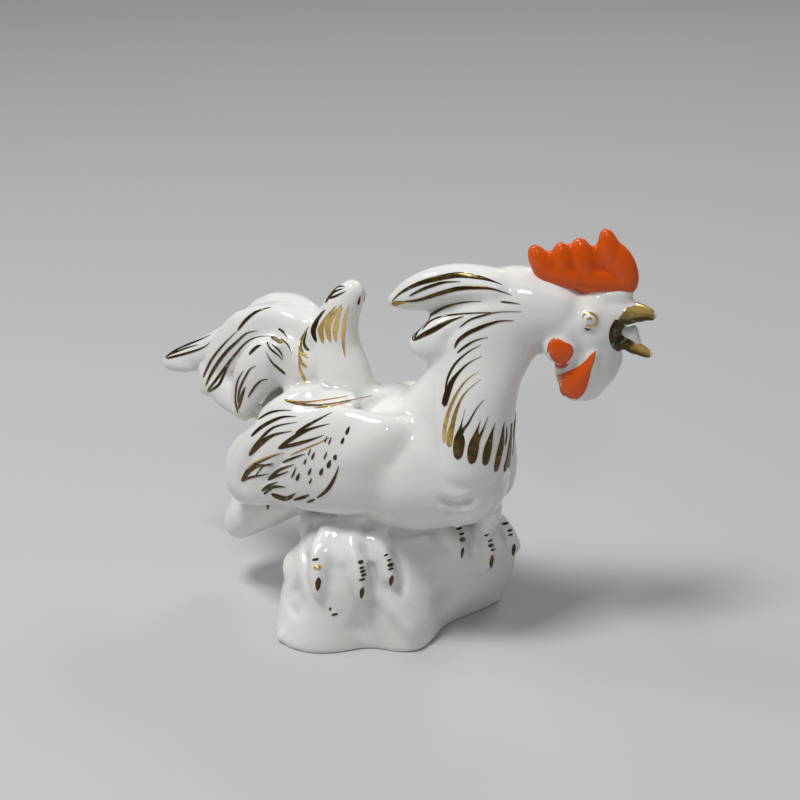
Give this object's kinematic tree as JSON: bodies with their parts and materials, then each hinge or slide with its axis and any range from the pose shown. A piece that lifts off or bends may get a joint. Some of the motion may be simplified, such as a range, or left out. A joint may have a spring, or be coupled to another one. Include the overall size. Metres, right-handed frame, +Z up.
{
  "type": "rooster figurine",
  "caption": "Glazed porcelain figurine of a crowing rooster on a rock, hollow cast, with gilded feather strokes and an orange comb",
  "frame": {"origin": "on the ground, below the middle of the bounding box", "axes": "+X towards the breast and beak, +Y towards the rooster's left, +Z up"},
  "size_m": [0.1666, 0.0714, 0.1416],
  "materials": {
    "porcelain": "clear glossy glaze over white porcelain",
    "orange_enamel": "glossy orange-red enamel over the glaze",
    "gold_lustre": "bright gold lustre over the glaze"
  },
  "bodies": {
    "root": {"rock_base": "porcelain", "body": "porcelain", "neck": "porcelain", "crest_lock": "porcelain", "right_lock": "porcelain", "left_lock": "porcelain", "head": "porcelain", "comb": "orange_enamel", "upper_beak": "gold_lustre", "lower_beak": "gold_lustre", "tongue": "porcelain", "right_ear_lobe": "orange_enamel", "left_ear_lobe": "orange_enamel", "right_wattle": "orange_enamel", "left_wattle": "orange_enamel", "right_wing": "porcelain", "left_wing": "porcelain", "saddle_plume": "porcelain", "tail": "porcelain", "right_tail_feather": "porcelain", "left_tail_feather": "porcelain", "right_outer_feather": "porcelain", "left_outer_feather": "porcelain", "right_covert": "porcelain", "left_covert": "porcelain", "rump_fluff": "porcelain", "right_foot": "porcelain", "left_foot": "porcelain"}
  },
  "joints": []
}
